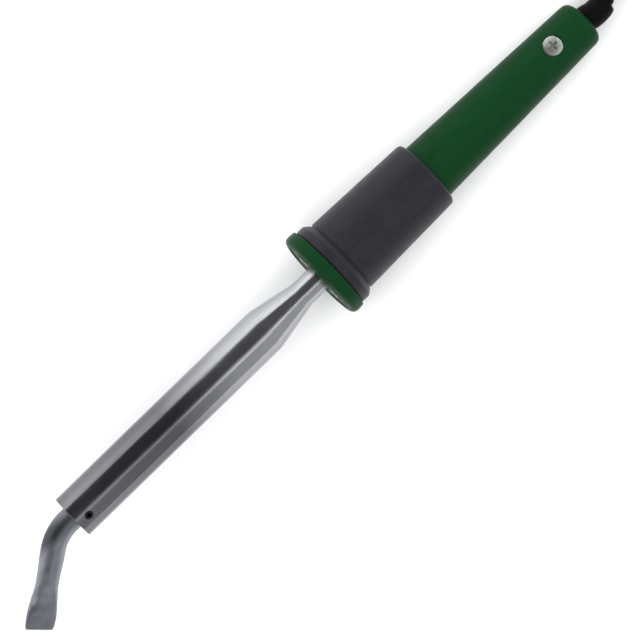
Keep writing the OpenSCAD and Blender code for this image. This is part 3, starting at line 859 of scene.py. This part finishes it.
def add_plug():
    """The moulded plug with its pins and spring earth contacts. Returns its pieces."""
    outline = rounded([
        (-PLUG_LEN, 0), (-PLUG_LEN, 4.4, 0.8), (-34, 6.4, 2), (-33, 10.5, 2), (-25, 13.4, 4),
        (-19.5, 14.2, 3), (-17.5, 17.6, 1.5), (-16.6, PLUG_R, 0.8), (0, PLUG_R, 1.2), (0, 0),
    ])
    body = solid("plug", lathed(outline, 144), PLUG)
    recess_x0 = -15
    contact_half_w = 3
    guide_half_w = 2.5
    for up in (-1, 1):
        low, high = sorted((up * (PLUG_R - 3), up * (PLUG_R + 1)))
        cut(body, box_mesh((recess_x0, -contact_half_w, low), (1, contact_half_w, high)), PLUG)
    for side in (-1, 1):
        low, high = sorted((side * (PLUG_R - 2), side * (PLUG_R + 1)))
        cut(body, box_mesh((recess_x0, low, -guide_half_w), (1, high, guide_half_w)), PLUG)
    earth_hole = [
        (-EARTH_HOLE_DEPTH, 0), (-EARTH_HOLE_DEPTH, EARTH_HOLE_R), (-CUT, EARTH_HOLE_R),
        (CUT, EARTH_HOLE_R + 2 * CUT), (CUT, 0),
    ]
    cut(body, lathed(earth_hole, 48), PLUG @ Matrix.Translation((0, 0, EARTH_HOLE_UP)))
    finish_piece(body, "plug_plastic", ["plug_body"])
    pieces = [body]
    root_r = 2
    edge = 0.15
    pin = rounded([
        (-10, 0), (-10, root_r), (0.02, root_r), (0.02, PIN_R, edge),
        (PIN_LEN, PIN_R, PIN_R - edge), (PIN_LEN, 0),
    ])
    for name, side in (("plug_pin_left", 1), ("plug_pin_right", -1)):
        place = PLUG @ Matrix.Translation((0, side * PIN_Y, 0))
        pieces.append(finish_piece(solid(name, lathed(pin, 64), place), "pin_nickel", ["plug_pins"]))
    for name, up in (("earth_contact_top", 1), ("earth_contact_bottom", -1)):
        middle = up * (PLUG_R - 2.6)
        clip = box_mesh((-14.8, -2.2, middle - 0.4), (-0.5, 2.2, middle + 0.4), 0.2)
        pieces.append(finish_piece(solid(name, clip, PLUG), "pin_nickel", ["plug_earth_clips"]))
    return pieces


# ---- Floor and light ----

def add_floor():
    """A plain pale floor, far larger than the view."""
    bm = bmesh.new()
    bmesh.ops.create_grid(bm, x_segments=1, y_segments=1, size=6)
    floor = solid("floor", bm, Matrix.Identity(4))
    look = Look("floor", Roughness=0.9)
    look.shader.inputs["Specular IOR Level"].default_value = 0.1
    look.paint(look.colours(look.noise(90, 3), (0.3, (0.91, 0.91, 0.91)), (0.7, (0.93, 0.93, 0.93))))
    floor.data.materials.append(look.material)


def add_softbox(name, side, elevation, away, width, height, power):
    """A soft rectangular light that faces the iron from that many metres away. side is an angle, 90 towards
    +Y, and elevation is one above the floor. power is in watts."""
    iron_height = 0.03
    light = bpy.data.lights.new(name, "AREA")
    light.shape = "RECTANGLE"
    light.size = width
    light.size_y = height
    light.energy = power
    lamp = bpy.data.objects.new(name, light)
    turn, up = math.radians(side), math.radians(elevation)
    out = Vector((math.cos(turn) * math.cos(up), math.sin(turn) * math.cos(up), math.sin(up)))
    lamp.location = out * away + Vector((0, 0, iron_height))
    lamp.rotation_mode = "QUATERNION"
    lamp.rotation_quaternion = out.to_track_quat("Z", "Y")
    lamp.visible_camera = False
    bpy.context.scene.collection.objects.link(lamp)
    return lamp


def add_dark_card():
    """A dark card above the iron, seen only in reflections, which gives the metal its dark band."""
    bm = bmesh.new()
    bmesh.ops.create_grid(bm, x_segments=1, y_segments=1, size=0.5)
    card = solid("dark_card", bm, Matrix.Identity(4))
    card.scale = (2.4, 1.2, 1)
    card.location = (0, 0.36, 0.9)
    look = Look("dark_card", Roughness=1.0)
    look.shader.inputs["Base Color"].default_value = (0.07, 0.07, 0.074, 1)
    card.data.materials.append(look.material)
    for way in ("visible_camera", "visible_diffuse", "visible_shadow", "visible_transmission"):
        setattr(card, way, False)


def add_light():
    """A pale studio: a key on the iron's +Y side, softboxes ahead and behind, a thin strip and a fill."""
    world = bpy.data.worlds.new("studio")
    world.use_nodes = True
    background = world.node_tree.nodes["Background"]
    background.inputs["Color"].default_value = (0.97, 0.985, 1, 1)
    background.inputs["Strength"].default_value = 0.55
    bpy.context.scene.world = world
    bpy.context.scene.view_settings.view_transform = "Standard"
    add_softbox("key", side=90, elevation=23, away=1.3, width=2.6, height=1.05, power=8.2)
    add_softbox("front", side=180, elevation=45, away=1.5, width=1.2, height=1.0, power=6)
    add_softbox("rear", side=0, elevation=32, away=1.5, width=1.2, height=0.8, power=6)
    fill = add_softbox("fill", side=90, elevation=90, away=2.0, width=4.0, height=4.0, power=52)
    fill.visible_glossy = False
    add_softbox("strip", side=-90, elevation=63, away=1.1, width=2.4, height=0.12, power=0.95)


add_camera()
add_light()
add_floor()
add_dark_card()
lead = add_lead()
add_lead_tail()
add_relief()
ties = add_ties()
plug = add_plug()
add_barrel()
add_tip()
add_flange()
add_grip()
add_handle()
dress_cad_nodes()
